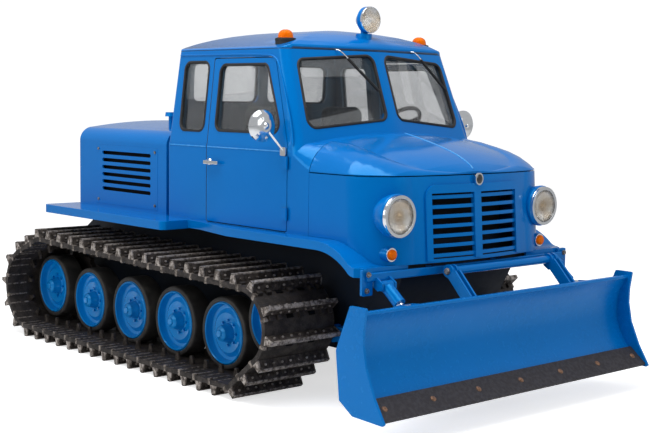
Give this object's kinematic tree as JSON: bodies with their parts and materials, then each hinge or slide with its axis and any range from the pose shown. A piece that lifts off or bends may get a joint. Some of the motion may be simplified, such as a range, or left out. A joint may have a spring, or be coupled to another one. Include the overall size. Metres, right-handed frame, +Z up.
{
  "type": "snowcat groomer",
  "caption": "Tracked snow grooming machine with a bonneted cab, round headlamps, a closed rear body and a curved front blade on push arms and lift rams.",
  "frame": {"origin": "on the ground in the middle of the machine's length and width", "axes": "+X forward to the blade, +Y to the left, +Z up"},
  "size_m": [5, 2.7, 2.764],
  "materials": {
    "body_blue": "glossy bright blue paint",
    "hull_blue": "blue paint, dusty",
    "track_steel": "dark brown worn steel",
    "tyre_rubber": "dark grey rubber",
    "dark_steel": "dark grey steel",
    "chrome": "polished",
    "lamp_glass": "warm clear lens",
    "amber_glass": "amber lens",
    "window_glass": "faint grey clear glass",
    "cab_trim": "slate grey",
    "seat_cloth": "dark grey cloth",
    "wheel_plastic": "black grip",
    "radiator_black": "black fins"
  },
  "bodies": {
    "machine": {"hull": "hull_blue", "tow_hitch": "hull_blue", "front_beam": "body_blue", "suspension_arms": "hull_blue", "wheel_discs": "body_blue", "tyres": "tyre_rubber", "sprockets": "track_steel", "return_rollers": "track_steel", "track_left": "track_steel", "track_right": "track_steel", "rear_deck": "body_blue", "fenders": "body_blue", "cab_floor": "cab_trim", "cab_shell": "body_blue", "roof": "body_blue", "cab_panes": "window_glass", "dashboard": "cab_trim", "seat_pedestals": "cab_trim", "seat_cushions": "seat_cloth", "seat_backs": "seat_cloth", "nose_shell": "body_blue", "grille": "body_blue", "radiator": "radiator_black", "engine": "dark_steel", "lamp_bowls": "body_blue", "lamp_rims": "chrome", "lamp_lenses": "lamp_glass", "amber_lenses": "amber_glass", "beacon_bases": "cab_trim", "spotlight": "body_blue", "spotlight_lens": "lamp_glass", "rear_body": "body_blue", "louvre_panels": "body_blue"},
    "door_left": {"door_left": "body_blue", "door_pane_left": "window_glass", "mirror_left": "chrome"},
    "door_right": {"door_right": "body_blue", "door_pane_right": "window_glass", "mirror_right": "chrome"},
    "bonnet": {"bonnet": "body_blue", "nose_disc": "chrome"},
    "blade": {"blade": "body_blue", "cutting_edge": "dark_steel", "push_frame": "body_blue", "headstock": "body_blue"},
    "lift_barrel_left": {"lift_barrel_left": "body_blue"},
    "lift_barrel_right": {"lift_barrel_right": "body_blue"},
    "lift_rod_left": {"lift_rod_left": "chrome"},
    "lift_rod_right": {"lift_rod_right": "chrome"},
    "steering_wheel": {"steering_wheel": "wheel_plastic"}
  },
  "joints": [
    {"name": "door_right_hinge", "type": "hinge", "parent": "machine", "child": "door_right", "pos_m": [1.042, -0.904, 1.7], "axis": [0, 0, 1], "range_deg": [0, 68]},
    {"name": "door_left_hinge", "type": "hinge", "parent": "machine", "child": "door_left", "pos_m": [1.042, 0.904, 1.7], "axis": [0, 0, -1], "range_deg": [0, 68]},
    {"name": "bonnet_hinge", "type": "hinge", "parent": "machine", "child": "bonnet", "pos_m": [1.275, 0, 1.855], "axis": [0, -1, 0], "range_deg": [0, 48]},
    {"name": "blade_lift", "type": "hinge", "parent": "machine", "child": "blade", "pos_m": [1.24, 0, 0.45], "axis": [0, 1, 0], "range_deg": [0, 7.2]},
    {"name": "ram_swing_right", "type": "hinge", "parent": "machine", "child": "lift_barrel_right", "pos_m": [1.996, -0.86, 0.901], "axis": [0, 1, 0], "range_deg": [0, 13.41]},
    {"name": "ram_swing_left", "type": "hinge", "parent": "machine", "child": "lift_barrel_left", "pos_m": [1.996, 0.86, 0.901], "axis": [0, 1, 0], "range_deg": [0, 13.41]},
    {"name": "ram_stroke_right", "type": "slide", "parent": "lift_barrel_right", "child": "lift_rod_right", "axis": [0.7813, 0, -0.6241], "range_m": [0, 0.1076]},
    {"name": "ram_stroke_left", "type": "slide", "parent": "lift_barrel_left", "child": "lift_rod_left", "axis": [0.7813, 0, -0.6241], "range_m": [0, 0.1076]},
    {"name": "steering", "type": "hinge", "parent": "machine", "child": "steering_wheel", "pos_m": [0.85, 0.36, 1.89], "axis": [-0.7071, 0, 0.7071], "range_deg": [-450, 450]}
  ],
  "couplings": [
    {"joint": "ram_swing_right", "follows": "blade_lift", "ratio": 1.86},
    {"joint": "ram_swing_left", "follows": "blade_lift", "ratio": 1.86},
    {"joint": "ram_stroke_right", "follows": "blade_lift", "m_per_rad": 0.8545},
    {"joint": "ram_stroke_left", "follows": "blade_lift", "m_per_rad": 0.8545}
  ]
}
